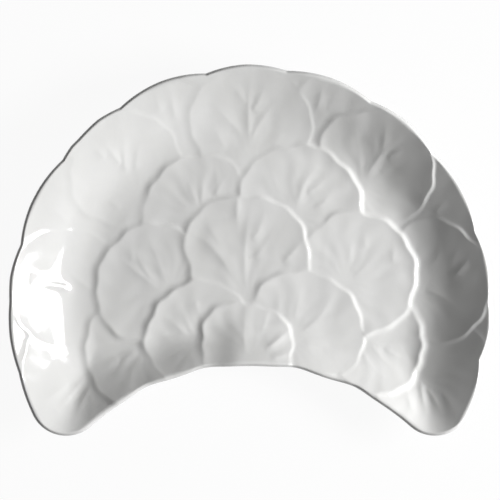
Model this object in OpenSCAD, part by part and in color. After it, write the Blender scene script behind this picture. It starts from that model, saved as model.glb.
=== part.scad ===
// Crescent salad plate in white porcelain, moulded as overlapping round leaves.
// Millimetres, +Z up. The origin is under the middle of the plate, at table height.
// +X runs from the left horn to the right one, +Y from the inner edge to the back of the rim.

/* [Outline] */
// Radius of the outer rim, measured to the crests of the scallops
rim_r = 108.5; // [104:0.5:114]
// Depth of the deepest notch between the scallops of the rim
notch_d = 2.4; // [0:0.2:3.2]
// Depth of the plate in the middle, from the back of the rim to the inner edge
mid_depth = 135; // [132:1:139]
// Radius of the hollow inner edge
inner_r = 108; // [104:1:112]
// Height of the soft bumps along the inner edge
bump_h = 1.1; // [0:0.1:1.5]
// Radius of the rounded tip of each horn
tip_r = 16.5; // [16:0.5:17.5]

/* [Section] */
// Thickness of the body in the well
body_t = 4.5; // [3.5:0.25:6]
// Width of the outer wall
wall_w = 37; // [35:0.5:38]
// Steepness of the outer wall's flank: rise for each millimetre of width
wall_slope = 0.67; // [0.5:0.01:0.75]
// Width of the wall along the inner edge
inner_wall_w = 19; // [17:0.5:20]
// Steepness of the inner wall's flank
inner_slope = 0.85; // [0.6:0.05:1]
// Width of the inner wall where it runs into a tip
tip_wall_w = 27; // [25:0.5:29]
// Steepness of the inner wall where it runs into a tip
tip_slope = 0.7; // [0.55:0.05:0.8]
// Reach of the rounded lip past its crest
lip_r = 1.4; // [1.2:0.1:2]

/* [Leaves] */
// Rise of a leaf's blade from the hub of its veins to its margin
blade_lift = 0.5; // [0.2:0.1:0.8]
// Extra height of the curled margin
curl_h = 0.95; // [0.5:0.05:1.2]
// Width of the curled margin
curl_w = 4.5; // [3:0.5:6]
// Height of the veins
vein_h = 0.35; // [0:0.05:0.6]
// Half width of a vein
vein_w = 2.2; // [1.6:0.1:3]

/* [Foot ring] */
// Height of the foot ring
foot_h = 4.5; // [4.5:0.25:7]
// Width of the foot ring where it joins the body
foot_top_w = 5; // [4:0.25:5.5]
// Width of the face that it stands on
foot_land_w = 3; // [2:0.25:3.5]
// Radius of the outer bend of the ring, along its middle line
foot_r = 66; // [63:0.5:67]
// Distance of the ring's middle line from the inner edge
foot_inset = 26; // [25.5:0.5:28]
// Radius of the ring's ends
foot_end_r = 12; // [10:0.5:13]

/* [Hidden] */

// The leaf layout is drawn on a rim of this radius and follows the rim's size
layout_r = 108.5;
fit = rim_r / layout_r;

// Leaves, from the top of the pile to the bottom. The last column has the directions of the veins.
// Bulges and rises are [direction, amount, half width]: they change a margin's radius and its lift.
MIDDLE = 0;
RADIUS = 1;
LIFT = 2;
LEAN = 3;
HUB = 4;
BULGES = 5;
RISES = 6;
VEINS = 7;
LEAVES = [
    [[-1.1, -45], 20.6, 0.8, 1, [0, -48],
        [[30, 1.8, 40], [128, 3.6, 40], [157, 1.3, 30], [15, -0.6, 30]],
        [[60, -0.5, 30], [165, 0.3, 40]], [6, 34, 69, 92]],
    [[-22.6, -38.8], 25.1, 0.9, 1, [-22, -42],
        [[135, -1.4, 40], [215, -1.3, 40], [165, -0.8, 25], [195, 1, 25]],
        [[60, -0.6, 40], [210, -0.5, 30]], [119, 141, 155]],
    [[24.4, -36.1], 26.4, 0.9, 1, [19, -39.5],
        [[60, -0.5, 40], [128, 1.8, 40], [290, -4.5, 40], [330, 1.8, 40], [10, -0.6, 40]],
        [[135, 0.3, 30], [75, -0.5, 40], [160, -0.8, 30], [310, -0.5, 30]], [-3, 40, 78, 104]],
    [[-0.2, -3.4], 27.8, 0.85, 1, [0.5, -21.5],
        [[90, -0.9, 40], [118, 1.3, 40], [155, 3.3, 40], [15, -0.5, 25], [130, 1, 25]],
        [[15, 0.4, 30], [130, -0.4, 30]], [48, 71, 91, 119, 132]],
    [[-43.2, -14.6], 26.4, 0.95, 1, [-33.5, -17.5],
        [[140, -1.2, 40], [228, 2.7, 40]],
        [[180, 0.4, 25], [240, -0.3, 30], [125, -0.3, 30]], [117, 137, 151]],
    [[47.3, -11], 27.6, 1.3, 0.3, [43, -14.5],
        [[325, 1.3, 40], [335, -1, 25], [105, 1, 25], [135, -1, 25]],
        [[135, -1, 40], [330, -0.5, 25]], [30, 48, 76, 104]],
    [[-49.5, -45.5], 23.7, 0.7, 1, [-47.5, -44],
        [[140, 2.2, 40], [165, 0.8, 40], [200, 1.2, 40], [240, 2, 40]],
        [[195, -0.25, 40]], [207, 224, 246]],
    [[57.6, -41.9], 22.2, 1.6, -0.7, [51, -39.5],
        [[350, -1.8, 40], [285, 0.7, 40], [25, -1, 30]],
        [[45, -1, 40], [240, -1.2, 40]], [-62, -44, -26]],
    [[22.6, 19], 27.3, 1, 0.3, [21.5, 17],
        [[155, 1.8, 40], [90, 1, 50], [130, 1.2, 30], [165, -0.8, 20], [5, 1, 35]],
        [[120, -0.7, 40], [150, -0.3, 30]], [30, 50, 72, 120]],
    [[-24, 16.8], 25.1, 0.85, 1, [-21.5, 17.5],
        [[55, 2.5, 40], [150, -1.4, 40]],
        [[45, -0.5, 40], [90, -0.4, 30]], [54, 80, 112, 153]],
    [[0.7, 54.9], 27.8, 0.3, 1, [2, 39.5],
        [[150, 0.7, 40], [200, -1.5, 40], [170, 1.2, 30]],
        [[25, 0.3, 40]], [47, 71, 92, 106, 126]],
    [[-55.3, 35.6], 26, 0.2, 1, [-47.5, 23.5],
        [[55, 0.7, 40], [180, -1.3, 40], [210, 1.6, 40]],
        [], [93, 110, 124]],
    [[57.6, 36.5], 26.4, 0.6, 1, [50.5, 28],
        [[0, -1.3, 40], [145, 3.6, 40], [130, 0.8, 30]],
        [[340, 0.7, 40], [295, -0.5, 40]], [53, 70, 97]],
    [[-80.4, -17.7], 26.9, 0.12, 1, [-69, -18],
        [], [[230, 0.7, 50], [157, 0.5, 30]], [143, 172]],
    [[81.3, -14.6], 26.9, 0.4, 1, [74, -18.5],
        [[88, 2.5, 40], [300, 1.3, 40], [60, -0.8, 30]],
        [[60, 1, 35], [310, 1.1, 45]], [-23, 28, 62]],
    [[-38.3, 50.8], 26.9, 0.15, 1, [-27, 44.5], [], [], [109, 122]],
    [[39.6, 52.6], 26.9, 0.5, 1, [29.5, 46], [], [], [70, 84]],
    [[-75.5, 15], 26.9, 0.12, 1, [-64.5, 7.5], [], [], [153]],
    [[76.8, 15], 26.9, 0.5, 1, [69, 8], [], [], [38]],
    [[-77.7, -56.2], 27.8, 0.3, 1, [-69.5, -58], [], [], [202, 219, 236]],
    [[82.2, -56.2], 27.8, 0.6, 1, [75.5, -56], [], [], [-100, -80, -60, -41]],
    [[-83.6, -36.1], 25, 0.12, 1, [-70, -45], [], [], []],
    [[85.8, -33.8], 25, 0.5, 1, [72.5, -43], [], [], []],
];

// Soft folds of some blades: the leaf's place in the pile, the fold's height, the x of its crest,
// its width to the left and to the right, and the y where it starts and where it has its full height
HUMPS = [
    [0, 1.5, -4, 9, 22, -24, -38],
    [1, 0.7, -24, 9, 6, -32, -46],
    [5, 0.5, 73, 12, 6, 30, 0],
    [6, 1, -38, 9, 6, -36, -50],
    [8, 0.35, 49.5, 10, 6, 0, 15],
    [12, 0.7, 84, 9, 6, 25, 45]
];

// A leaf that leans right has a flat curled left side and a rising right side.
// Each pair is a middle value and how much is added on the side that the leaf leans to.
curl_lean = [0.55, -0.45];
blade_lean = [0.5, 0.5];
// Width of the toe of a margin's step, outside the margin, and of its brow inside
toe_lean = [2, -0.6];
step_brow_w = 1.1;
// No margin and toe reach further past a leaf's radius than this
margin_reach = 9;
// Step in level from each leaf to the next one below it
layer_h = 0.015;
// Veins start a little way out from the hub and fade before the margin
vein_start = 0.15;
vein_fade = [0.6, 0.95];
// Swelling at the rim that the outer leaves lie on
swell_h = 0.5;
swell_w = 16;

// Notches round the rim: direction, depth as a share of the deepest, and half width
NOTCHES = [
    [-12.8, 1, 12], [1.2, 0.5, 12], [18.2, 0.7, 12], [39.9, 0.65, 12], [59.6, 0.8, 12], [81.2, 0.7, 12],
    [100.8, 0.95, 12], [123.3, 0.85, 12], [136, 0.4, 24], [142, 0.75, 12], [164.8, 0.85, 12],
    [178.8, 0.3, 12], [195.8, 0.35, 12]
];
// Directions of the bumps to each side along the inner edge
BUMPS = [10.7, 25.2];
bump_half = 4;

// The walls curve up over this share of their width and level out in a brow
curve_share = 0.55;
brow_w = 1.2;
// Stretch of the half width over which the inner wall widens, up to the tips, where the two walls blend
inner_widen_x = [35, 75];
blend_power = 3;
// The walls of the underside lie this much further out and have a sharper brow
under_shift = 0.5;
under_brow = 0.5;
// The lip's rounding ends this far below the level on the underside
lip_end = 55;
lip_strips = 4;

// Facets of the leaf relief, and how much its columns crowd towards the tips
cols = 80;
rows = 50;
crowding = 0.3;

// Rounding of the foot ring's standing face and fillet under the body, and the steps along its bends
foot_round = 0.6;
foot_fillet = 0.7;
foot_bend_step = 12;
foot_facet = 5;

// Middles of the arcs of the outline: rim, inner edge and right tip
inner_from_rim = rim_r - mid_depth - inner_r;
tip_reach = rim_r - tip_r;
tip_drop = (tip_reach ^ 2 - (inner_r + tip_r) ^ 2 + inner_from_rim ^ 2) / (2 * inner_from_rim);
rim_y = -(rim_r + tip_drop - tip_r) / 2;
rim_c = [0, rim_y];
inner_c = [0, rim_y + inner_from_rim];
tip_c = [sqrt(tip_reach ^ 2 - tip_drop ^ 2), rim_y + tip_drop];
// Direction from the rim's middle to where the right tip meets the rim, and the x of its two ends
tip_angle = asin(tip_drop / tip_reach);
tip_outer_x = rim_r * cos(tip_angle);
tip_inner_x = tip_c.x * inner_r / (inner_r + tip_r);

function unit(angle) = [cos(angle), sin(angle)];
function direction(v) = atan2(v.y, v.x);
function ramp(t) = let (c = max(0, min(1, t))) c * c * (3 - 2 * c);
function mix(a, b, share) = a + (b - a) * share;
function turn(angle) = angle - 360 * round(angle / 360);
function flip(p) = [-p.x, p.y];
function sum(list) = len(list) == 0 ? 0 : list * [for (item = list) 1];

// Depth of the rim's notches in a direction
function notch(angle) =
    notch_d * max([for (n = NOTCHES) n[1] * max(0, 1 - abs(turn(angle - n[0])) / n[2]) ^ 2]);

// Height of the inner edge's bumps at an angle from its middle
function bump(angle) = bump_h * max([for (b = BUMPS) exp(-((abs(angle) - b) / bump_half) ^ 2)]);

// Points of the outline, each with its outward direction: on the rim, a tip and the inner edge
function rim_point(angle) = [rim_c + (rim_r - notch(angle)) * unit(angle), unit(angle)];

function tip_point(x) =
    let (out = unit(-acos(max(-1, min(1, (x - tip_c.x) / tip_r)))))
    [tip_c + tip_r * out, out];

function inner_point(x) =
    let (angle = asin(x / inner_r), out = -unit(90 - angle))
    [inner_c - (inner_r + bump(angle)) * out, out];

// Front of the outline at a given x, from the left tip along the inner edge to the right tip
function front_point(x) =
    abs(x) < tip_inner_x ? inner_point(x)
    : x > 0 ? tip_point(x)
    : [for (part = tip_point(-x)) flip(part)];

// The outline at a place of the facet grid's border
function column_x(i) = let (s = 2 * i / cols - 1) tip_outer_x * mix(s, sin(90 * s), crowding);
function side_angle(j) = tip_angle * (1 - 2 * j / rows);
function border(i, j) =
    i == 0 ? rim_point(180 - side_angle(j))
    : i == cols ? rim_point(side_angle(j))
    : j == 0 ? front_point(column_x(i))
    : rim_point(acos(column_x(i) / rim_r));
function inset_border(i, j, inset) = let (b = border(i, j)) b[0] - inset * b[1];

// A grid of places drawn between the four sides of the outline, which are set in by this much
function grid(inset) =
    let (front = [for (i = [0 : cols]) inset_border(i, 0, inset)])
    let (back = [for (i = [0 : cols]) inset_border(i, rows, inset)])
    let (left = [for (j = [0 : rows]) inset_border(0, j, inset)])
    let (right = [for (j = [0 : rows]) inset_border(cols, j, inset)])
    [
        for (i = [0 : cols]) for (j = [0 : rows])
            let (u = i / cols, v = j / rows)
            mix(front[i], back[i], v) + mix(left[j], right[j], u)
            - mix(mix(left[0], left[rows], v), mix(right[0], right[rows], v), u)
    ];

// Height of a wall at a distance from its foot: a curve, a straight flank and a brow that levels it out
function wall(distance, width, slope, brow) =
    let (d = max(0, distance), curve = curve_share * width)
    let (flank = min(d, curve) ^ 2 / (2 * curve) + max(0, d - curve))
    slope * (flank - max(0, d - width + brow) ^ 2 / (2 * brow));

// Rise of the dish above its flat; the shift moves its walls outwards
function dish(p, shift = 0, brow = brow_w) =
    let (from_rim = rim_r - lip_r + shift - norm(p - rim_c))
    let (from_inner = norm(p - inner_c) - inner_r - lip_r + shift)
    let (to_tip = ramp((abs(p.x) - inner_widen_x[0]) / (inner_widen_x[1] - inner_widen_x[0])))
    let (inner_w = mix(inner_wall_w, tip_wall_w, to_tip))
    let (outer = wall(wall_w - from_rim, wall_w, wall_slope, brow))
    let (inner = wall(inner_w - from_inner, inner_w, mix(inner_slope, tip_slope, to_tip), brow))
    (outer ^ blend_power + inner ^ blend_power) ^ (1 / blend_power);

// A value that changes round a leaf: its base and soft changes centred on some directions
function around(base, changes, angle) =
    base + sum([for (c = changes) c[1] * cos(90 * min(1, abs(turn(angle - c[0])) / c[2])) ^ 2]);

// Veins: soft ridges that spread from the hub
function veins(leaf, arm, share) =
    let (dist = norm(arm), angle = direction(arm))
    let (off = min([90, for (v = leaf[VEINS]) abs(turn(angle - v))]))
    let (fade = 1 - ramp((share - vein_fade[0]) / (vein_fade[1] - vein_fade[0])))
    vein_h * ramp(share / vein_start) * fade * exp(-(dist * sin(off) / vein_w) ^ 2);

// Height of a leaf's folds at a place
function humps(index, p) = sum([for (h = HUMPS) if (h[0] == index) hump(h, p)]);
function hump(h, p) =
    let (height = h[1], away = p.x - h[2], width = away < 0 ? h[3] : h[4])
    let (start_y = h[5], full_y = h[6])
    height * exp(-(away / width) ^ 2) * ramp((p.y - start_y) / (full_y - start_y));

// Upper face of one leaf, at a place this far inside its margin
function leaf_top(leaf, p, angle, inside, lean) =
    let (arm = p - leaf[HUB], dist = norm(arm))
    let (share = dist / max(dist, dist + inside))
    let (curl = curl_h * (curl_lean[0] + curl_lean[1] * lean) * exp(-max(0, inside) / curl_w))
    let (blade = blade_lift * (blade_lean[0] + blade_lean[1] * lean) * share ^ 2)
    around(leaf[LIFT], leaf[RISES], angle) * (blade + curl) + veins(leaf, arm, share);

// The pile of leaves at a place, from the leaf with this index down
function leaf_pile(p, index = 0) =
    index == len(LEAVES) ? swelling(p)
    : let (leaf = LEAVES[index], arm = p - leaf[MIDDLE])
    norm(arm) > leaf[RADIUS] + margin_reach ? leaf_pile(p, index + 1)
    : let (angle = direction(arm), lean = leaf[LEAN] * cos(angle))
    let (inside = around(leaf[RADIUS], leaf[BULGES], angle) - norm(arm))
    let (toe = toe_lean[0] + toe_lean[1] * lean)
    inside <= -toe ? leaf_pile(p, index + 1)
    : let (t = min(1, (inside + toe) / (toe + step_brow_w)) ^ 3, cover = t * (2 - t))
    let (top = layer_h * (len(LEAVES) - index) + leaf_top(leaf, p, angle, inside, lean) + humps(index, p))
    cover * top + (cover < 1 ? (1 - cover) * leaf_pile(p, index + 1) : 0);

// Swelling of the body along the rim, which the margins of the outer leaves lie on
function swelling(p) = swell_h * ramp((norm(p - rim_c / fit) - layout_r + swell_w) / swell_w);

// Upper and lower surface of the body
function top_z(p) = foot_h + body_t + dish(p) + leaf_pile(p / fit);
function under_z(p) = foot_h + dish(p, under_shift, under_brow);

// Rows that the underside needs: one of so many on the inner wall, on the outer wall and on its flat
under_skips = [2, 3, 6];
under_rows = [
    for (j = [0 : rows])
        let (from_inner = j * mid_depth / rows, from_rim = (rows - j) * mid_depth / rows)
        let (skip = under_skips[from_inner < inner_wall_w ? 0 : from_rim < wall_w ? 1 : 2])
        if (from_rim < wall_w ? (rows - j) % skip == 0 : j % skip == 0) j
];

module plate() {
    stations = concat(
        [for (i = [0 : cols - 1]) [i, 0]],
        [for (j = [0 : rows - 1]) [cols, j]],
        [for (i = [cols : -1 : 1]) [i, rows]],
        [for (j = [rows : -1 : 1]) [0, j]]
    );
    ring = len(stations);
    layer = (cols + 1) * (rows + 1);

    // Places of the points in the joined list
    function t(i, j) = i * (rows + 1) + j;
    function u(i, j) = layer + t(i, j);
    function l(r, k) =
        let (s = stations[k % ring])
        r == 0 ? t(s[0], s[1])
        : r == lip_strips ? u(s[0], s[1])
        : 2 * layer + (r - 1) * ring + k % ring;

    top = [for (p = grid(lip_r)) [p.x, p.y, top_z(p)]];
    under = [for (p = grid(lip_r * (1 - cos(lip_end)))) [p.x, p.y, under_z(p)]];
    lip = [
        for (r = [1 : lip_strips - 1]) for (s = stations)
            let (k = t(s[0], s[1]), tilt = mix(90, -lip_end, r / lip_strips))
            let (half = (top[k].z - under[k].z) / (1 + sin(lip_end)))
            let (xy = inset_border(s[0], s[1], lip_r * (1 - cos(tilt))))
            [xy.x, xy.y, top[k].z - half * (1 - sin(tilt))]
    ];

    // Each patch of the top is split along its flatter diagonal
    top_faces = [
        for (i = [0 : cols - 1]) for (j = [0 : rows - 1])
            let (a = t(i, j), b = t(i + 1, j), c = t(i + 1, j + 1), d = t(i, j + 1))
            each abs(top[a].z - top[c].z) < abs(top[b].z - top[d].z)
                ? [[a, d, c], [a, c, b]]
                : [[a, d, b], [d, c, b]]
    ];
    lip_faces = [
        for (r = [0 : lip_strips - 1]) for (k = [0 : ring - 1])
            each [[l(r, k), l(r, k + 1), l(r + 1, k + 1)], [l(r, k), l(r + 1, k + 1), l(r + 1, k)]]
    ];
    under_faces = [
        for (n = [0 : len(under_rows) - 2])
            let (j = under_rows[n], next = under_rows[n + 1])
            each [
                for (i = [1 : cols - 2])
                    each [[u(i, j), u(i + 1, j), u(i + 1, next)], [u(i, j), u(i + 1, next), u(i, next)]],
                for (k = [j : next - 1])
                    each [[u(0, k), u(1, j), u(0, k + 1)], [u(cols, k), u(cols, k + 1), u(cols - 1, j)]],
                [u(0, next), u(1, j), u(1, next)],
                [u(cols, next), u(cols - 1, next), u(cols - 1, j)]
            ]
    ];
    color([0.94, 0.94, 0.93]) polyhedron(concat(top, under, lip), concat(top_faces, lip_faces, under_faces));
}

// Kidney-shaped ring: one section, which narrows to the face it stands on, swept along four tangent arcs
module foot_ring() {
    front_r = inner_r + foot_inset;
    end_reach = foot_r - foot_end_r;
    end_drop = (end_reach ^ 2 - (front_r + foot_end_r) ^ 2 + inner_from_rim ^ 2) / (2 * inner_from_rim);
    end_c = [sqrt(end_reach ^ 2 - end_drop ^ 2), rim_y + end_drop];
    back_turn = direction(end_c - rim_c);
    front_turn = direction(end_c - inner_c);

    // Steps along an arc, each with its outward direction; side is -1 where the arc bends inwards
    function arc(middle, radius, from, to, side = 1) =
        let (span = abs(to - from))
        let (steps = ceil(max(span / foot_bend_step, radius * span * PI / 180 / foot_facet)))
        [
            for (k = [0 : steps - 1])
                let (out = unit(mix(from, to, k / steps)))
                [middle + radius * out, side * out]
        ];

    path = concat(
        arc(rim_c, foot_r, back_turn, 180 - back_turn),
        arc(flip(end_c), foot_end_r, 180 - back_turn, 360 - front_turn),
        arc(inner_c, front_r, 180 - front_turn, front_turn, -1),
        arc(end_c, foot_end_r, front_turn - 180, back_turn)
    );
    half = [
        [foot_land_w / 2, 0],
        [foot_land_w / 2 + foot_round, foot_round],
        [foot_top_w / 2 - foot_fillet, foot_h - foot_fillet],
        [foot_top_w / 2, foot_h]
    ];
    section = concat(half, [for (k = [len(half) - 1 : -1 : 0]) flip(half[k])]);
    sides = len(section);
    ring = len(path);
    points = [
        for (station = path) for (corner = section)
            let (xy = station[0] + corner.x * station[1])
            [xy.x, xy.y, corner.y]
    ];
    function at(s, c) = (s % ring) * sides + c % sides;
    faces = [
        for (s = [0 : ring - 1]) for (c = [0 : sides - 1])
            each [[at(s, c), at(s, c + 1), at(s + 1, c + 1)], [at(s, c), at(s + 1, c + 1), at(s + 1, c)]]
    ];
    color([0.89, 0.87, 0.83]) polyhedron(points, faces);
}

plate();
foot_ring();
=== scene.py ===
"""Crescent salad plate of glazed white porcelain, moulded as overlapping round leaves, on a white ground.

Sizes are in millimetres, angles in degrees, and points of the plan are complex numbers: x + 1j * y.
"""
from collections import namedtuple

import bpy
import numpy as np
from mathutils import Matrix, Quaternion, Vector


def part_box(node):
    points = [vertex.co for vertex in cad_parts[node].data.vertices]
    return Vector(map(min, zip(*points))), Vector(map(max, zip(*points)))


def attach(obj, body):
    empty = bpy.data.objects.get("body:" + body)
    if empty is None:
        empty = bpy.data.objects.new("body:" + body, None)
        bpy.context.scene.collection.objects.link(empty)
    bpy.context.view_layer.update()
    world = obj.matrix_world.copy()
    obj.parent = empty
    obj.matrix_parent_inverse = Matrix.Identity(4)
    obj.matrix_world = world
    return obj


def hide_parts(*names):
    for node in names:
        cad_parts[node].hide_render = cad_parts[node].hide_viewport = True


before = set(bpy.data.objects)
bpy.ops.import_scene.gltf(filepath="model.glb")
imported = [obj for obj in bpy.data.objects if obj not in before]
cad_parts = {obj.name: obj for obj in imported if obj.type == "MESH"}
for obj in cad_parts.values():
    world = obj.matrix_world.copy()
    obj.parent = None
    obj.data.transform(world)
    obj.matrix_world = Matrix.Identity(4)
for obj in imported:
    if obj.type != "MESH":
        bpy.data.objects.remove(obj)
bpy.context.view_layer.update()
MM = 0.001

# Outline: rim through the crests of the scallops, hollow inner edge, round tips.
# Notches are (direction, share of their depth, half width) and take a little off the plate's width.
# Bumps are directions to both sides of the inner edge's middle.
WIDTH_CUT = 1
RIM_R = (round((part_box("plate")[1].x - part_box("plate")[0].x) / MM) + WIDTH_CUT) / 2
MID_DEPTH = 135
INNER_R = 108
TIP_R = 16.5
NOTCH_D = 2.4
NOTCHES = (
    (-12.8, 1, 12), (1.2, 0.5, 12), (18.2, 0.7, 12), (39.9, 0.65, 12), (59.6, 0.8, 12), (81.2, 0.7, 12),
    (100.8, 0.95, 12), (123.3, 0.85, 12), (136, 0.4, 24), (142, 0.75, 12), (164.8, 0.85, 12),
    (178.8, 0.3, 12), (195.8, 0.35, 12),
)
BUMP_H = 1.1
BUMP_HALF = 4
BUMPS = (10.7, 25.2)

# Section: body, walls that curve up to a straight flank and level out in a soft brow, and the rounded lip.
# The inner wall takes on its width and slope in the tips between two distances from the middle.
FOOT_H = (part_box("foot_ring")[1].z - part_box("foot_ring")[0].z) / MM
BODY_T = 4.5
WALL_W = 37
WALL_SLOPE = 0.67
INNER_WALL_W = 19
INNER_SLOPE = 0.85
TIP_WALL_W = 27
TIP_SLOPE = 0.7
TIP_CHANGE_X = (35, 75)
CURVE_SHARE = 0.55
BROW_W = 1.2
BLEND_POWER = 3
UNDER_SHIFT = 0.5
UNDER_BROW = 0.5
LIP_R = 1.4
LIP_END = 55

# Pile of leaves: height of a layer, shift of the layout, and the swell of the body under it along the rim
LAYER_H = 0.015
LEAF_SHIFT = -0.5
SWELL_H = 0.5
SWELL_W = 16

# A leaf's blade, its curled margin, and the step to the leaf below it with its toe and brow.
# Pairs are a middle value, and what a full lean adds to it on the right and takes from it on the left.
BLADE_LIFT = 0.5
BLADE_LEAN = (0.5, 0.5)
CURL_H = 1.15
CURL_W = 4.5
CURL_LEAN = (0.55, -0.45)
TOE_LEAN = (2.9, -1.6)
TOE_INSET = 0.8
STEP_BROW_W = 1.1
STEP_POWER = 3
MIN_REACH = 0.1

# Veins: widths of the left and right flanks of three kinds, the rounding of their crests, the shares of
# their length in which they rise and taper off, and how closely they keep to the higher one where they meet
THIN = (1.5, 1.7)
FOLD = (2.5, 8)
WIDE = (8, 8)
VEIN_CREST = 0.8
VEIN_ROOT = (0, 0.35)
VEIN_TAPER = (0.5, 1)
VEIN_TIP = 0.2
VEIN_UNION = 4
VEIN_STEPS = 8
TINY = 0.0005

# Unevenness of a hand-made mould: waves of the face are (direction, length), and waves of the margins and
# fan folds are (number round a leaf, change of phase from leaf to leaf)
WAVE_H = 0.05
WAVES = ((20, 26), (95, 19), (160, 14))
MARGIN_WAVE = 0.3
MARGIN_WAVES = ((8, 1.3), (15, 2.1))
PLEAT_H = 0.035
PLEATS = ((11, 1.7), (17, 2.9))
PLEAT_REACH = 22
PLEAT_BEND = 5
PLEAT_LIFT = 0.6

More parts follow.
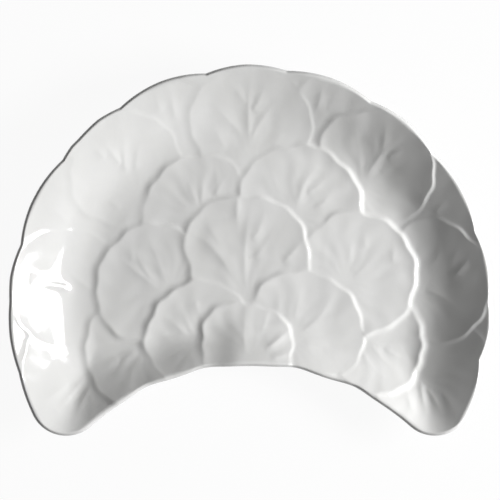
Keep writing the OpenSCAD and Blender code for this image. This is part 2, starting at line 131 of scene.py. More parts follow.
# Top of the pile first. Bulges and rises are (direction, amount, half width): they change a margin's radius
# and lift. Humps are (height, x, left width, right width, y of their start, y of their full height).
# Veins are (height, widths, start, middle, end).
Leaf = namedtuple("Leaf", "middle radius lift lean hub bulges rises humps veins", defaults=((), (), (), ()))
LEFT_RIDGE = (0.33, WIDE, -113.5 - 4j, -100 + 3j, -83.5 + 10.5j)
LEAVES = (
    # Front row, middle
    Leaf(-1.1 - 45j, 20.6, 0.8, 1, hub=0 - 48j,
         bulges=((30, 1.8, 40), (128, 3.6, 40), (157, 1.3, 30), (15, -0.6, 30)),
         rises=((60, -0.5, 30), (165, 0.5, 40), (345, -0.6, 55)),
         humps=((2, -4, 9, 22, -24, -38),),
         veins=(
             (0.3, THIN, -1 - 48j, -2.5 - 39j, -1.5 - 24.5j),
             (0.3, THIN, 4.5 - 39j, 7 - 32.5j, 8.5 - 26j),
             (0.75, THIN, 6 - 45j, 12.5 - 40.5j, 17.5 - 36j),
             (0.5, THIN, 8.5 - 48.5j, 14 - 47.5j, 19 - 46j),
         )),
    # Front row, left
    Leaf(-22.6 - 38.8j, 25.1, 1.15, 1, hub=-22 - 42j,
         bulges=((135, -1.4, 40), (215, -1.3, 40), (165, -0.8, 25), (195, 1, 25)),
         rises=((60, -0.8, 40), (210, -0.6, 30)),
         humps=((0.7, -24, 9, 6, -32, -46),),
         veins=(
             (0.22, THIN, -25.5 - 39j, -28 - 31.5j, -31 - 25.5j),
             (0.3, THIN, -26.5 - 39.5j, -32 - 34.5j, -36.5 - 30.5j),
             (0.08, THIN, -32.5 - 43j, -37.5 - 38.5j, -41 - 30.5j),
             (0.3, THIN, -24.5 - 21.5j, -23.5 - 26j, -22.5 - 29.5j),
         )),
    # Front row, right
    Leaf(24.4 - 36.1j, 26.4, 0.9, 1, hub=19 - 39.5j,
         bulges=((60, -0.5, 40), (128, 1.8, 40), (290, -4.5, 40), (330, 1.8, 40), (10, 0.3, 40)),
         rises=((75, -0.5, 40), (160, -0.8, 30), (310, -0.5, 30), (15, 0.6, 45)),
         veins=(
             (0.24, THIN, 19 - 32.5j, 21.5 - 25.5j, 23.5 - 15.5j),
             (0.27, THIN, 21 - 37j, 30.5 - 31j, 37.5 - 19.5j),
             (0.1, THIN, 11.5 - 30j, 13 - 25j, 13 - 20j),
             (0.2, THIN, 23 - 41j, 30 - 42j, 36.5 - 39.5j),
         )),
    # Middle of the plate
    Leaf(-0.2 - 3.4j, 27.8, 0.85, 1, hub=0.5 - 21.5j,
         bulges=((90, -0.9, 40), (118, 1.3, 40), (155, 3.3, 40), (15, -0.5, 25), (130, 1, 25), (45, 0.5, 25)),
         rises=((10, 1, 40), (130, -0.4, 30), (180, -0.25, 25)),
         veins=(
             (0.28, THIN, -1 - 20j, -2 + 0j, 0.5 + 18.5j),
             (0.27, THIN, -0.5 + 3.5j, 4 + 8.5j, 6.5 + 17j),
             (0.17, THIN, 1 - 6j, 6 + 1j, 12 + 10.5j),
             (0.45, FOLD, -7.5 - 4j, -16 + 7j, -18.5 + 13.5j),
             (0.8, FOLD, -5.5 - 15.5j, -14.5 - 1j, -24.5 + 7j),
             (0.4, THIN, 14.5 - 6j, 19 - 1.5j, 24 + 4.5j),
             (0.45, THIN, -4.5 + 26j, -5.5 + 18.5j, -5 + 10j),
         )),
    # Left of the middle
    Leaf(-43.2 - 14.6j, 26.4, 0.75, 1, hub=-33.5 - 17.5j,
         bulges=((140, -1.2, 40), (228, 2.7, 40)),
         rises=((208, -0.25, 30), (240, 0.35, 40), (125, -0.1, 30)),
         veins=(
             (0.42, THIN, -40.5 - 17j, -48.5 - 11.5j, -57.5 - 4j),
             (0.35, THIN, -41 - 16.5j, -46.5 - 9.5j, -50 - 2.5j),
             (0.26, THIN, -36.5 - 15.5j, -40.5 - 6j, -45 + 5j),
             (0.14, THIN, -51.5 - 6.5j, -53 - 2j, -53 + 3j),
         )),
    # Right of the middle
    Leaf(47.3 - 11j, 27.6, 1.3, 0.3, hub=43 - 14.5j,
         bulges=((325, 1.3, 40), (10, 0.1, 40), (335, -1, 25), (105, 1, 25), (135, -1, 25)),
         rises=((135, -1, 40), (322, -0.6, 35)),
         humps=((0.5, 73, 12, 6, 30, 0),),
         veins=(
             (0.14, THIN, 46 - 12.5j, 51 - 8.5j, 55.5 + 0j),
             (0.06, THIN, 41 - 9j, 39.5 - 2.5j, 38 + 5j),
             (0.08, THIN, 34.5 - 9j, 33.5 - 3j, 34.5 + 4.5j),
             (0.16, THIN, 45 - 6.5j, 45.5 + 0.5j, 48 + 8j),
             (0.18, THIN, 52.5 + 0j, 52 + 3.5j, 51.5 + 8j),
             (0.24, THIN, 64.5 - 7j, 64.5 - 2j, 65 + 3j),
         )),
    # Inner edge, left
    Leaf(-49.5 - 45.5j, 23.7, 0.6, 1, hub=-47.5 - 44j,
         bulges=((140, 2.2, 40), (165, 0.8, 40), (200, 1.2, 40), (240, 2, 40)),
         rises=((165, 0.2, 40), (215, -0.25, 40), (135, -0.4, 28)),
         humps=((1, -38, 9, 6, -36, -50),),
         veins=(
             (0.3, THIN, -49 - 45j, -54.5 - 48j, -58.5 - 54j),
             (0.2, THIN, -57.5 - 47.5j, -62 - 50.5j, -66 - 53.5j),
             (0.15, THIN, -47.5 - 47.5j, -50 - 50.5j, -52.5 - 55j),
         )),
    # Inner edge, right
    Leaf(57.6 - 41.9j, 22.2, 1.6, -0.7, hub=51 - 39.5j,
         bulges=((350, -1.8, 40), (285, 0.7, 40), (25, -1, 30)),
         rises=((45, -1, 40), (240, -1.2, 40)),
         veins=(
             (0.2, THIN, 50 - 44.5j, 54 - 51j, 59.5 - 56.5j),
             (0.28, THIN, 54 - 40.5j, 58.5 - 47.5j, 64.5 - 53j),
             (0.35, THIN, 59.5 - 43j, 64.5 - 46.5j, 69 - 48.5j),
         )),
    # Behind the middle, right
    Leaf(22.6 + 19j, 27.3, 1, 0.3, hub=21.5 + 17j,
         bulges=((155, 1.8, 40), (90, 1, 50), (130, 1.2, 30), (165, -0.8, 20), (5, 1, 35)),
         rises=((120, -0.7, 40), (150, -0.3, 30), (15, 0.2, 40)),
         humps=((0.35, 49.5, 10, 6, 0, 15),),
         veins=(
             (0.3, THIN, 21.5 + 17j, 23.5 + 27j, 29.5 + 36.5j),
             (0.33, THIN, 24.5 + 25j, 29.5 + 27.5j, 34 + 32j),
             (0.24, THIN, 28.5 + 18j, 33.5 + 21.5j, 37 + 26j),
             (0.17, THIN, 15.5 + 22j, 12 + 29.5j, 10 + 36.5j),
         )),
    # Behind the middle, left
    Leaf(-24 + 16.8j, 25.1, 0.85, 1, hub=-21.5 + 17.5j,
         bulges=((55, 2.5, 40), (150, -1.4, 40)),
         rises=((45, -0.5, 40), (90, -0.4, 30), (190, -0.3, 50), (172, -0.35, 25)),
         veins=(
             (0.27, THIN, -22 + 18.5j, -25.5 + 25j, -28 + 33.5j),
             (0.33, THIN, -22 + 19j, -21 + 25j, -21 + 32j),
             (0.33, THIN, -15 + 23.5j, -14 + 27.5j, -10.5 + 32.5j),
             (0.15, THIN, -13.5 + 24.5j, -14.5 + 32j, -15.5 + 41j),
             (0.06, THIN, -25.5 + 18j, -30 + 21j, -34.5 + 24j),
         )),
    # Back wall, middle
    Leaf(0.7 + 54.9j, 27.8, 0.3, 1, hub=2 + 39.5j,
         bulges=((150, 0.7, 40), (200, -1.5, 40), (170, 1.2, 30)),
         rises=((25, 0.3, 40),),
         veins=(
             (0.37, THIN, 0.5 + 44.5j, -0.5 + 61.5j, 0.5 + 77j),
             (0.27, THIN, -0.5 + 63.5j, -3.5 + 68.5j, -8 + 74j),
             (0.4, THIN, 0 + 61.5j, 3.5 + 65.5j, 6.5 + 72.5j),
             (0.3, THIN, 0.5 + 46.5j, 4 + 56j, 13 + 67.5j),
             (0.16, THIN, -1 + 48.5j, -9 + 58j, -16 + 64.5j),
             (0.17, THIN, -10 + 45j, -13 + 49.5j, -15.5 + 54.5j),
             (0.1, THIN, 9.5 + 46j, 12.5 + 49.5j, 16 + 54j),
         )),
    # Left wall, back
    Leaf(-55.3 + 35.6j, 26, 0.2, 1, hub=-47.5 + 23.5j,
         bulges=((55, 0.7, 40), (180, -1.3, 40), (210, 1.6, 40)),
         rises=((70, 0.1, 40),),
         veins=(
             (0.38, THIN, -55 + 33.5j, -56 + 40j, -56 + 48.5j),
             (0.2, THIN, -51 + 34.5j, -50.5 + 41j, -49 + 48j),
             (0.4, THIN, -56.5 + 37j, -60 + 41.5j, -64 + 46.5j),
             (0.2, THIN, -64 + 40j, -66.5 + 43j, -69 + 45.5j),
             (0.15, THIN, -57 + 18j, -60.5 + 20.5j, -63.5 + 22.5j),
         )),
    # Right wall, back
    Leaf(57.6 + 36.5j, 26.4, 0.6, 1, hub=50.5 + 28j,
         bulges=((0, -1.3, 40), (145, 3.6, 40), (130, 0.8, 30)),
         rises=((340, 0.7, 40), (295, -0.5, 40)),
         humps=((0.7, 84, 9, 6, 25, 45),),
         veins=(
             (0.14, THIN, 49.5 + 34.5j, 49.5 + 43.5j, 47.5 + 53.5j),
             (0.38, THIN, 52.5 + 31.5j, 57 + 40j, 66.5 + 49.5j),
             (0.35, THIN, 60.5 + 40j, 65 + 43j, 70 + 45j),
             (0.25, THIN, 59.5 + 42j, 60.5 + 49j, 61 + 56j),
             (0.15, THIN, 55.5 + 37.5j, 56 + 44.5j, 56 + 53.5j),
         )),
    # Left wall
    Leaf(-80.4 - 17.7j, 26.9, 0.12, 1, hub=-69 - 18j,
         bulges=((130, 1.6, 40), (165, 0.8, 30), (228, 1, 25)),
         rises=((232, 0.55, 45), (178, 0.5, 32)),
         veins=(
             (0.2, THIN, -70 - 18j, -75.5 - 14.5j, -81 - 9j),
             (0.75, THIN, -78 - 19j, -86 - 16j, -95 - 15.5j),
             (0.3, THIN, -98 - 8.5j, -99 - 13j, -99 - 17.5j),
             LEFT_RIDGE,
         )),
    # Right wall
    Leaf(81.3 - 14.6j, 26.9, 0.4, 1, hub=74 - 18.5j,
         bulges=((88, 2.5, 40), (300, 1.3, 40), (60, -0.8, 30)),
         rises=((60, 1, 35), (310, 1.1, 45)),
         veins=(
             (0.45, THIN, 78.5 - 18j, 85.5 - 20.5j, 93 - 26j),
             (0.17, THIN, 78.5 - 9j, 84 - 4j, 85 + 4.5j),
             (0.15, THIN, 90.5 - 12.5j, 91.5 - 4.5j, 92.5 + 2j),
             (0.5, THIN, 90.5 - 13j, 94.5 - 8.5j, 98.5 - 4j),
         )),
    # Back wall, left
    Leaf(-38.3 + 50.8j, 26.9, 0.15, 1, hub=-27 + 44.5j,
         veins=(
             (0.3, THIN, -32.5 + 57j, -34 + 63.5j, -35 + 70j),
             (0.17, THIN, -39 + 61j, -40.5 + 64.5j, -41.5 + 68.5j),
         )),
    # Back wall, right
    Leaf(39.6 + 52.6j, 26.9, 0.5, 1, hub=29.5 + 46j,
         veins=(
             (0.35, THIN, 29.5 + 60.5j, 31.5 + 67j, 33 + 73j),
             (0.12, THIN, 34.5 + 60.5j, 36.5 + 65j, 38 + 69j),
         )),
    # Left rim
    Leaf(-75.5 + 15j, 26.9, 0.12, 1, hub=-64.5 + 7.5j,
         veins=(
             (0.12, THIN, -80 + 12.5j, -84.5 + 15.5j, -89 + 20j),
             LEFT_RIDGE,
         )),
    # Right rim
    Leaf(76.8 + 15j, 26.9, 0.5, 1, hub=69 + 8j,
         veins=(
             (0.3, THIN, 82 + 15.5j, 85 + 19j, 88.5 + 23j),
         )),
    # Left tip
    Leaf(-77.7 - 56.2j, 27.8, 0.3, 1, hub=-69.5 - 58j,
         bulges=((168, -2.6, 40),),
         rises=((155, 0.3, 40),),
         veins=(
             (0.45, THIN, -73 - 56j, -79 - 63.5j, -86 - 71.5j),
             (0.4, THIN, -69.5 - 59.5j, -74.5 - 67j, -77.5 - 75j),
             (0.25, THIN, -79 - 58.5j, -85.5 - 63j, -91 - 67j),
             (0.15, THIN, -70 - 62j, -71 - 66j, -72.5 - 69.5j),
         )),
    # Right tip
    Leaf(82.2 - 56.2j, 27.8, 0.6, 1, hub=75.5 - 56j,
         veins=(
             (0.45, THIN, 70.5 - 62.5j, 71.5 - 67.5j, 73 - 72.5j),
             (0.8, THIN, 76.5 - 57.5j, 77.5 - 64.5j, 79 - 72.5j),
             (0.45, THIN, 78 - 60j, 82 - 65.5j, 86 - 73j),
             (0.12, THIN, 85 - 62j, 88.5 - 67j, 91.5 - 71.5j),
         )),
    # Left rim above the tip
    Leaf(-83.6 - 36.1j, 25, 0.12, 1, hub=-70 - 45j),
    # Right rim above the tip
    Leaf(85.8 - 33.8j, 25, 0.5, 1, hub=72.5 - 43j),
)

# Foot ring
FOOT_TOP_W = 5
FOOT_LAND_W = 3
FOOT_R = 66
FOOT_INSET = 26
FOOT_END_R = 12
FOOT_ROUND = 0.6
FOOT_FILLET = 0.7
FOOT_HIP_ROUND = 0.8 * FOOT_FILLET

# Facets of the meshes: their size, the strips of the lip, and how the columns crowd towards the tips
FACET = 0.5
UNDER_SKIP = 4
LIP_STRIPS = 16
TIP_CROWD = 0.3
FOOT_FACET = 1.2
BEND_STEPS = 5

# Glaze and bare clay: tones as (position, colour), ranges of roughness, and the noises that vary them
GLAZE_IOR = 1.5
GLAZE_TONES = ((0.3, (0.80, 0.80, 0.785)), (0.7, (0.83, 0.83, 0.82)))
GLAZE_ROUGHNESS = (0.06, 0.1)
CLOUD_SCALE = 45
CLOUD_DETAIL = 3
RIPPLE_SCALE = 110
RIPPLE_DETAIL = 1
RIPPLE_H = 0.08
BARE_TONES = ((0.3, (0.74, 0.72, 0.67)), (0.7, (0.82, 0.80, 0.75)))
BARE_ROUGHNESS = (0.65, 0.85)
GRAIN_SCALE = 1400
GRAIN_DETAIL = 4
GRAIN_H = 0.1

# White ground: it glows for direct views and keeps a share of its shadow
FLOOR_SIZE = 3000
FLOOR_COLOUR = (0.85, 0.85, 0.85, 1)
FLOOR_GLOW = 0.94

# Light: a dim room, and one softbox to the right, turned so that its mirror image lies on the left wall
BOX_DISTANCE = 950
BOX_TILT = 57
BOX_TURN = -2.6
BOX_ROLL = 14
BOX_SIZE = (400, 280)
BOX_POWER = 11.7
ROOM_LEVEL = 0.03
ROOM_COLOUR = (1, 1, 1, 1)

# Camera: straight above, with the photo's width at the height of the lip
CAMERA_H = 3000
VIEW_WIDTH = 223.3
VIEW_MIDDLE = -0.2 + 0j
LIP_HEIGHT = 24
SENSOR = 36
CLIP_END = 10000

# Middles of the outline's arcs, where the arcs meet, and the size of the grid
INNER_FROM_RIM = RIM_R - MID_DEPTH - INNER_R
TIP_REACH = RIM_R - TIP_R
TIP_DROP = (TIP_REACH ** 2 - (INNER_R + TIP_R) ** 2 + INNER_FROM_RIM ** 2) / (2 * INNER_FROM_RIM)
RIM_C = -0.5j * (RIM_R + TIP_DROP - TIP_R)
INNER_C = RIM_C + 1j * INNER_FROM_RIM
TIP_C = (TIP_REACH ** 2 - TIP_DROP ** 2) ** 0.5 + RIM_C + 1j * TIP_DROP
TIP_ANGLE = np.degrees(np.arcsin(TIP_DROP / TIP_REACH))
TIP_OUTER_X = RIM_R * np.cos(np.radians(TIP_ANGLE))
TIP_INNER_X = TIP_C.real * INNER_R / (INNER_R + TIP_R)
COLS = round(2 * RIM_R / FACET / UNDER_SKIP) * UNDER_SKIP
ROWS = round(MID_DEPTH / FACET / UNDER_SKIP) * UNDER_SKIP


def unit(angle):
    return np.exp(1j * np.radians(angle))


def direction(v):
    return np.degrees(np.angle(v))


def turn(angle):
    """The same angle between -180 and 180."""
    return (angle + 180) % 360 - 180


def ramp(t):
    """A soft rise from 0 to 1."""
    t = np.clip(t, 0, 1)
    return t * t * (3 - 2 * t)


def eased(value, stretch, low, high):
    """A soft change from one amount to another while a value passes along a stretch."""
    return low + (high - low) * ramp((value - stretch[0]) / (stretch[1] - stretch[0]))


def rim_points(angle):
    """The scalloped rim in these directions: points and their outward directions."""
    cuts = [depth * np.maximum(0, 1 - np.abs(turn(angle - n)) / half) ** 2 for n, depth, half in NOTCHES]
    return RIM_C + (RIM_R - NOTCH_D * np.max(cuts, axis=0)) * unit(angle), unit(angle)


def front_points(x):
    """The front of the outline, from the left tip along the inner edge to the right tip."""
    angle = np.degrees(np.arcsin(np.clip(x / INNER_R, -1, 1)))
    height = np.max([np.exp(-((np.abs(angle) - b) / BUMP_HALF) ** 2) for b in BUMPS], axis=0)
    inner_out = -unit(90 - angle)
    inner = INNER_C - (INNER_R + BUMP_H * height) * inner_out
    tip_out = np.exp(-1j * np.arccos(np.clip((np.abs(x) - TIP_C.real) / TIP_R, -1, 1)))
    tip = TIP_C + TIP_R * tip_out
    on_tip = np.abs(x) > TIP_INNER_X
    left = x < 0
    point = np.where(on_tip, np.where(left, -tip.conj(), tip), inner)
    out = np.where(on_tip, np.where(left, -tip_out.conj(), tip_out), inner_out)
    return point, out


def outline():
    """The four sides of the outline, as (points, outward directions): front, right, back and left."""
    s = np.linspace(-1, 1, COLS + 1)
    x = TIP_OUTER_X * ((1 - TIP_CROWD) * s + TIP_CROWD * np.sin(np.pi / 2 * s))
    side = TIP_ANGLE * np.linspace(1, -1, ROWS + 1)
    back = np.degrees(np.arccos(x / RIM_R))
    return front_points(x), rim_points(side), rim_points(back), rim_points(180 - side)


def patch(front, right, back, left):
    """A grid of points drawn between four sides that share their corners."""
    u = np.linspace(0, 1, len(front))[:, None]
    v = np.linspace(0, 1, len(right))[None, :]
    sides = (1 - v) * front[:, None] + v * back[:, None] + (1 - u) * left[None, :] + u * right[None, :]
    corners = (1 - u) * ((1 - v) * front[0] + v * back[0]) + u * ((1 - v) * front[-1] + v * back[-1])
    return sides - corners


def wall(distance, width, slope, brow):
    """Height of a wall at a distance from its foot: a curve, a straight flank and a levelling brow."""
    d = np.maximum(0, distance)
    curve = CURVE_SHARE * width
    flank = np.minimum(d, curve) ** 2 / (2 * curve) + np.maximum(0, d - curve)
    return slope * (flank - np.maximum(0, d - width + brow) ** 2 / (2 * brow))


def dish(p, shift=0, brow=BROW_W):
    """Rise of the dish above its flat; the shift moves its walls outwards. They meet in the tips."""
    from_rim = RIM_R - LIP_R + shift - np.abs(p - RIM_C)
    from_inner = np.abs(p - INNER_C) - INNER_R - LIP_R + shift
    inner_w = eased(np.abs(p.real), TIP_CHANGE_X, INNER_WALL_W, TIP_WALL_W)
    inner_slope = eased(np.abs(p.real), TIP_CHANGE_X, INNER_SLOPE, TIP_SLOPE)
    outer = wall(WALL_W - from_rim, WALL_W, WALL_SLOPE, brow)
    inner = wall(inner_w - from_inner, inner_w, inner_slope, brow)
    return (outer ** BLEND_POWER + inner ** BLEND_POWER) ** (1 / BLEND_POWER)


def around(base, changes, angle):
    """A value that changes round a leaf: its base and soft changes centred on some directions."""
    value = base + 0 * angle
    for where, amount, half in changes:
        off = np.minimum(1, np.abs(turn(angle - where)) / half)
        value = value + amount * np.cos(np.pi / 2 * off) ** 2
    return value


def leaning(values, lean):
    return values[0] + values[1] * lean


def vein_points(start, middle, end):
    """A bent vein through three points."""
    t = np.linspace(0, 1, VEIN_STEPS + 1)
    handle = 2 * middle - (start + end) / 2
    return (1 - t) ** 2 * start + 2 * t * (1 - t) * handle + t ** 2 * end


def nearest_on(p, line):
    """The way to each place from the nearest point of a line, and the share of the line's length there."""
    nearest = np.full(p.shape, np.inf + 0j)
    share = np.zeros(p.shape)
    for k, (a, b) in enumerate(zip(line[:-1], line[1:])):
        along = np.clip(((p - a) * np.conj(b - a)).real / abs(b - a) ** 2, 0, 1)
        off = p - a - along * (b - a)
        closer = np.abs(off) < np.abs(nearest)
        share = np.where(closer, (k + along) / (len(line) - 1), share)
        nearest = np.where(closer, off, nearest)
    return nearest, share


def ridge(p, height, widths, *points):
    """One rounded vein, which tapers off to both ends."""
    off, share = nearest_on(p, vein_points(*points))
    away = np.abs(off)
    width = eased(off.real / (away + TINY), (-1, 1), *widths)
    taper = eased(share, VEIN_TAPER, 1, VEIN_TIP) * eased(share, VEIN_ROOT, 0, 1)
    return height * taper * np.exp(-(np.hypot(away, VEIN_CREST) - VEIN_CREST) / width)


def vein_height(p, veins):
    """All veins of a leaf. Those of one kind run into one another where they meet or fork."""
    total = np.zeros(p.shape)
    for kind in (THIN, FOLD, WIDE):
        ridges = [ridge(p, *vein) ** VEIN_UNION for vein in veins if vein[1] == kind]
        total += sum(ridges, np.zeros(p.shape)) ** (1 / VEIN_UNION)
    return total


def hump_height(p, humps):
    """Soft folds of a blade along lines of constant x."""
    total = np.zeros(p.shape)
    for height, x, left_w, right_w, start_y, full_y in humps:
        away = p.real - x
        width = np.where(away < 0, left_w, right_w)
        total += height * np.exp(-(away / width) ** 2) * ramp((p.imag - start_y) / (full_y - start_y))
    return total


def waves(p):
    return sum(WAVE_H * np.sin(2 * np.pi * (p * unit(-turned)).real / length) for turned, length in WAVES)


def margin_wave(angle, index):
    """Small waves in a leaf's margin, different on each leaf."""
    phases = [np.radians(count * angle) + index * shift for count, shift in MARGIN_WAVES]
    return sum(MARGIN_WAVE * np.sin(phase) for phase in phases)


def pleat_height(from_hub, index):
    """Faint folds that fan out from a leaf's hub, different on each leaf."""
    reach = np.abs(from_hub) / PLEAT_REACH
    angle = np.angle(from_hub) + np.radians(PLEAT_BEND * np.sin(2 * np.pi * reach + index))
    fan = sum(np.sin(count * angle + index * shift) for count, shift in PLEATS)
    return PLEAT_H * fan * ramp(reach) * min(1, LEAVES[index].lift / PLEAT_LIFT)


def leaf_top(p, index, lift, lean, inside):
    """Height of a leaf's face, with its lift, its lean and the distance inside its margin at each place."""
    leaf = LEAVES[index]
    dist = np.abs(p - leaf.hub)
    share = np.clip(dist / np.maximum(dist + inside, MIN_REACH), 0, 1)
    blade = BLADE_LIFT * leaning(BLADE_LEAN, lean) * share ** 2
    curl = CURL_H * leaning(CURL_LEAN, lean) * np.exp(-np.maximum(inside, 0) / CURL_W)
    layer = LAYER_H * (len(LEAVES) - index)
    detail = vein_height(p, leaf.veins) + hump_height(p, leaf.humps) + pleat_height(p - leaf.hub, index)
    return layer + lift * (blade + curl) + detail


def leaf_cover(inside, lean):
    """How much of a leaf there is over the pile below it: a toe outside its margin and a brow inside it."""
    toe = leaning(TOE_LEAN, lean)
    t = np.clip((inside + toe) / (toe + STEP_BROW_W), 0, 1) ** STEP_POWER
    return t * (2 - t)


def leaf_pile(p):
    """Height of the overlapping leaves, worked up from the bottom of the pile."""
    height = SWELL_H * ramp((np.abs(p - RIM_C) - RIM_R + SWELL_W) / SWELL_W)
    p = p - LEAF_SHIFT
    for index in reversed(range(len(LEAVES))):
        leaf = LEAVES[index]
        angle = direction(p - leaf.middle)
        lean = leaf.lean * np.cos(np.radians(angle))
        margin = around(leaf.radius, leaf.bulges, angle) + margin_wave(angle, index)
        inside = margin - TOE_INSET * np.maximum(0, -lean) - np.abs(p - leaf.middle)
        lift = around(leaf.lift, leaf.rises, angle)
        cover = leaf_cover(inside, lean)
        height = cover * leaf_top(p, index, lift, lean, inside) + (1 - cover) * height
    return height + waves(p)


def top_height(p):
    return FOOT_H + BODY_T + dish(p) + leaf_pile(p)


def under_height(p):
    return FOOT_H + dish(p, UNDER_SHIFT, UNDER_BROW)


def ring_of(front, right, back, left):
    """One closed run of values round four sides."""
    return np.concatenate([front[:-1], right[:-1], back[::-1][:-1], left[::-1][:-1]])


def grid_ring(grid):
    return ring_of(grid[:, 0], grid[-1, :], grid[:, -1], grid[0, :])


def make_mesh(name, points, faces):
    mesh = bpy.data.meshes.new(name)
    mesh.from_pydata((np.asarray(points) * MM).tolist(), [], faces)
    mesh.polygons.foreach_set("use_smooth", [True] * len(mesh.polygons))
    mesh.update()
    piece = bpy.data.objects.new(name, mesh)
    bpy.context.scene.collection.objects.link(piece)
    return piece


def spatial(p, z):
    return np.stack([p.real.ravel(), p.imag.ravel(), np.broadcast_to(z, p.shape).ravel()], axis=1)


def quads(index):
    """Faces between neighbouring rows of a grid of point numbers, facing up for columns to the right."""
    a, b, c, d = index[:-1, :-1], index[1:, :-1], index[1:, 1:], index[:-1, 1:]
    return np.stack([a.ravel(), b.ravel(), c.ravel(), d.ravel()], axis=1).tolist()


def side_fans(lines, facing):
    """Faces from the fine points of a grid's first line to every few points of a line further in."""
    fine, coarse = lines[0], lines[UNDER_SKIP]
    last = len(fine) - 1
    fans = []
    for start in range(0, last, UNDER_SKIP):
        end = start + UNDER_SKIP
        inner = [coarse[k] for k in (end, start) if UNDER_SKIP <= k <= last - UNDER_SKIP]
        fans.append([*fine[start:end + 1], *inner][::facing])
    return fans


def under_faces(index):
    """The underside needs fewer rows and columns: wide facets inside, and fans along the four sides."""
    inside = slice(UNDER_SKIP, -UNDER_SKIP, UNDER_SKIP)
    faces = [face[::-1] for face in quads(index[inside, inside])]
    for lines, facing in ((index.T, -1), (index.T[::-1], 1), (index, 1), (index[::-1], -1)):
        faces += side_fans(lines, facing)
    return faces


def without_spare(points, faces):
    """The points that the faces use, and the faces with these points' numbers."""
    used = np.unique(np.concatenate(faces))
    number = np.zeros(len(points), int)
    number[used] = np.arange(len(used))
    return points[used], [number[face].tolist() for face in faces]


def lip_points(crest, out, high, low):
    """Rings of points round the lip, between its crest and the underside."""
    half = (high - low) / (1 + np.sin(np.radians(LIP_END)))
    tilts = np.radians(np.linspace(90, -LIP_END, LIP_STRIPS + 1)[1:-1])
    return [spatial(crest + LIP_R * np.cos(t) * out, high - half + half * np.sin(t)) for t in tilts]


def make_plate():
    """The body: a fine grid over the leaves, a rounded lip and a plain underside, as one closed skin."""
    sides = outline()
    under_inset = LIP_R * (1 - np.cos(np.radians(LIP_END)))
    crest_sides = [point - LIP_R * out for point, out in sides]
    under_sides = [point - under_inset * out for point, out in sides]
    top, under = patch(*crest_sides), patch(*under_sides)
    crest, out = ring_of(*crest_sides), ring_of(*[out for _, out in sides])
    lip = lip_points(crest, out, top_height(crest), under_height(ring_of(*under_sides)))
    points = np.concatenate([spatial(top, top_height(top)), spatial(under, under_height(under)), *lip])

    top_index = np.arange(top.size).reshape(top.shape)
    under_index = top_index + top.size
    lip_index = 2 * top.size + np.arange(len(lip) * len(crest)).reshape(len(lip), len(crest))
    rings = np.vstack([grid_ring(top_index), lip_index, grid_ring(under_index)])
    rings = np.append(rings, rings[:, :1], axis=1)
    faces = quads(top_index) + quads(rings) + under_faces(under_index)
    return make_mesh("plate_glazed", *without_spare(points, faces))


def arc(middle, radius, start, end, side=1):
    """Points along an arc with their outward directions; side is -1 where the ring bends inwards."""
    steps = max(2, int(np.ceil(radius * np.radians(abs(end - start)) / FOOT_FACET)))
    out = unit(start + (end - start) * np.arange(steps) / steps)
    return middle + radius * out, side * out


def rounded(corner, before, after, radius):
    """A corner of a section as a soft bend between the points before and after it."""
    t = np.linspace(0, 1, BEND_STEPS)
    near = corner + radius * (before - corner) / abs(before - corner)
    far = corner + radius * (after - corner) / abs(after - corner)
    return (1 - t) ** 2 * near + 2 * t * (1 - t) * corner + t ** 2 * far


def foot_path():
    """The ring's middle line, four tangent arcs that make a kidney: points and outward directions."""
    front_r = INNER_R + FOOT_INSET
    reach = FOOT_R - FOOT_END_R
    drop = (reach ** 2 - (front_r + FOOT_END_R) ** 2 + INNER_FROM_RIM ** 2) / (2 * INNER_FROM_RIM)
    end_c = (reach ** 2 - drop ** 2) ** 0.5 + RIM_C + 1j * drop
    back_turn, front_turn = direction(end_c - RIM_C), direction(end_c - INNER_C)
    arcs = (
        arc(RIM_C, FOOT_R, back_turn, 180 - back_turn),
        arc(-end_c.conjugate(), FOOT_END_R, 180 - back_turn, 360 - front_turn),
        arc(INNER_C, front_r, 180 - front_turn, front_turn, -1),
        arc(end_c, FOOT_END_R, front_turn - 180, back_turn),
    )
    return np.concatenate([points for points, _ in arcs]), np.concatenate([out for _, out in arcs])


def foot_section():
    """The ring's section: a rounded standing face and sides that flare out to the body."""
    land = FOOT_LAND_W / 2 + 0j
    heel = land + FOOT_ROUND
    joint = FOOT_TOP_W / 2 + 1j * FOOT_H
    hip = joint - FOOT_FILLET * (1 + 1j)
    half = np.concatenate([
        rounded(heel, land, hip, FOOT_ROUND),
        rounded(hip, heel, joint, FOOT_HIP_ROUND),
        [joint],
    ])
    return np.concatenate([half, -half[::-1].conj()])


def make_foot_ring():
    """Kidney-shaped ring: one soft section swept along its middle line."""
    path, out = foot_path()
    section = foot_section()
    points = [spatial(path + c.real * out, c.imag) for c in section]
    index = np.arange(len(section) * len(path)).reshape(len(section), len(path))
    index = np.append(index, index[:1], axis=0)
    index = np.append(index, index[:, :1], axis=1)
    return make_mesh("foot_ring_bare", np.concatenate(points), quads(index))


def new_material(name):
    material = bpy.data.materials.new(name)
    material.use_nodes = True
    return material, material.node_tree.nodes, material.node_tree.links


def noise(nodes, links, scale, detail):
    place = nodes.new("ShaderNodeTexCoord").outputs["Object"]
    texture = nodes.new("ShaderNodeTexNoise")
    texture.inputs["Scale"].default_value = scale
    texture.inputs["Detail"].default_value = detail
    links.new(place, texture.inputs["Vector"])
    return texture.outputs["Fac"]


def tones(nodes, links, factor, stops):
    """A colour ramp with these (position, colour) stops."""
    blend = nodes.new("ShaderNodeValToRGB")
    for element, (position, colour) in zip(blend.color_ramp.elements, stops):
        element.position = position
        element.color = (*colour, 1)
    links.new(factor, blend.inputs["Fac"])
    return blend.outputs["Color"]


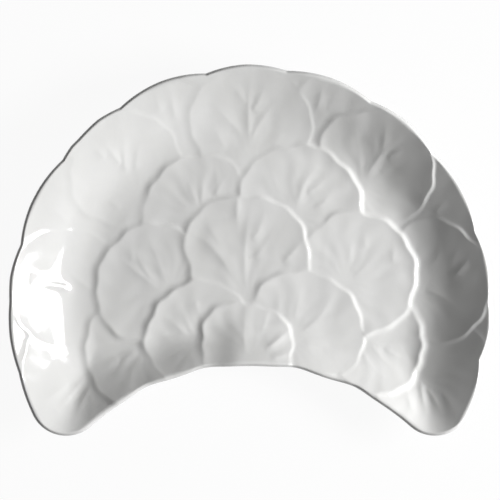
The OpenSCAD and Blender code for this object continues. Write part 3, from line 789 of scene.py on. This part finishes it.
def between(nodes, links, factor, low, high):
    """A value that goes from low to high with a factor."""
    mapped = nodes.new("ShaderNodeMapRange")
    mapped.inputs["To Min"].default_value = low
    mapped.inputs["To Max"].default_value = high
    links.new(factor, mapped.inputs["Value"])
    return mapped.outputs["Result"]


def bump(nodes, links, height, distance):
    node = nodes.new("ShaderNodeBump")
    node.inputs["Distance"].default_value = distance * MM
    links.new(height, node.inputs["Height"])
    return node.outputs["Normal"]


def glaze_material():
    """Clear gloss over white clay: slight clouds in tone and gloss, and the ripple of a flowed glaze."""
    material, nodes, links = new_material("glazed_porcelain")
    shader = nodes["Principled BSDF"]
    shader.inputs["IOR"].default_value = GLAZE_IOR
    cloud = noise(nodes, links, CLOUD_SCALE, CLOUD_DETAIL)
    ripple = noise(nodes, links, RIPPLE_SCALE, RIPPLE_DETAIL)
    links.new(tones(nodes, links, cloud, GLAZE_TONES), shader.inputs["Base Color"])
    links.new(between(nodes, links, cloud, *GLAZE_ROUGHNESS), shader.inputs["Roughness"])
    links.new(bump(nodes, links, ripple, RIPPLE_H), shader.inputs["Normal"])
    return material


def bare_material():
    """Unglazed clay of the standing face: matte, a little warmer, with a fine grain."""
    material, nodes, links = new_material("bare_porcelain")
    shader = nodes["Principled BSDF"]
    grain = noise(nodes, links, GRAIN_SCALE, GRAIN_DETAIL)
    links.new(tones(nodes, links, grain, BARE_TONES), shader.inputs["Base Color"])
    links.new(between(nodes, links, grain, *BARE_ROUGHNESS), shader.inputs["Roughness"])
    links.new(bump(nodes, links, grain, GRAIN_H), shader.inputs["Normal"])
    return material


def seen_directly(nodes, links, low, high):
    """The high value for rays from the camera, gloss and glass, and the low one for the rest."""
    path = nodes.new("ShaderNodeLightPath")
    seen = path.outputs["Is Camera Ray"]
    for ray in ("Is Glossy Ray", "Is Transmission Ray"):
        either = nodes.new("ShaderNodeMath")
        either.operation = "MAXIMUM"
        links.new(seen, either.inputs[0])
        links.new(path.outputs[ray], either.inputs[1])
        seen = either.outputs["Value"]
    return between(nodes, links, seen, low, high)


def floor_material():
    """White ground: it shows as white, and keeps a soft shadow."""
    material, nodes, links = new_material("ground_white")
    nodes.remove(nodes["Principled BSDF"])
    diffuse = nodes.new("ShaderNodeBsdfDiffuse")
    diffuse.inputs["Color"].default_value = FLOOR_COLOUR
    glow = nodes.new("ShaderNodeEmission")
    mix = nodes.new("ShaderNodeMixShader")
    links.new(seen_directly(nodes, links, 0, FLOOR_GLOW), mix.inputs["Fac"])
    links.new(diffuse.outputs["BSDF"], mix.inputs[1])
    links.new(glow.outputs["Emission"], mix.inputs[2])
    links.new(mix.outputs["Shader"], nodes["Material Output"].inputs["Surface"])
    return material


def make_floor():
    half = FLOOR_SIZE / 2
    corners = [(-half, -half, 0), (half, -half, 0), (half, half, 0), (-half, half, 0)]
    floor = make_mesh("floor", corners, [[0, 1, 2, 3]])
    floor.data.materials.append(floor_material())


def make_softbox():
    data = bpy.data.lights.new("softbox", "AREA")
    data.shape = "RECTANGLE"
    data.size = BOX_SIZE[0] * MM
    data.size_y = BOX_SIZE[1] * MM
    data.energy = BOX_POWER
    lamp = bpy.data.objects.new("softbox", data)
    across = np.sin(np.radians(BOX_TILT)) * unit(BOX_TURN)
    lamp.location = Vector((across.real, across.imag, np.cos(np.radians(BOX_TILT)))) * BOX_DISTANCE * MM
    roll = Quaternion((0, 0, 1), np.radians(BOX_ROLL))
    lamp.rotation_euler = (lamp.location.to_track_quat("Z", "Y") @ roll).to_euler()
    lamp.visible_camera = False
    bpy.context.scene.collection.objects.link(lamp)


def make_room():
    """A dim world, which shows as white behind the floor."""
    world = bpy.data.worlds.new("room")
    world.use_nodes = True
    nodes, links = world.node_tree.nodes, world.node_tree.links
    background = nodes["Background"]
    background.inputs["Color"].default_value = ROOM_COLOUR
    links.new(seen_directly(nodes, links, ROOM_LEVEL, 1), background.inputs["Strength"])
    bpy.context.scene.world = world


def make_camera():
    data = bpy.data.cameras.new("camera")
    data.sensor_width = SENSOR
    data.lens = SENSOR * (CAMERA_H - LIP_HEIGHT) / VIEW_WIDTH
    data.clip_end = CLIP_END * MM
    camera = bpy.data.objects.new("camera", data)
    camera.location = Vector((VIEW_MIDDLE.real, VIEW_MIDDLE.imag, CAMERA_H)) * MM
    bpy.context.scene.collection.objects.link(camera)
    bpy.context.scene.camera = camera


def dress(piece, node, material):
    piece.data.materials.append(material)
    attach(piece, "root")
    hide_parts(node)


dress(make_plate(), "plate", glaze_material())
dress(make_foot_ring(), "foot_ring", bare_material())
make_floor()
make_softbox()
make_room()
make_camera()
bpy.context.scene.view_settings.view_transform = "Standard"
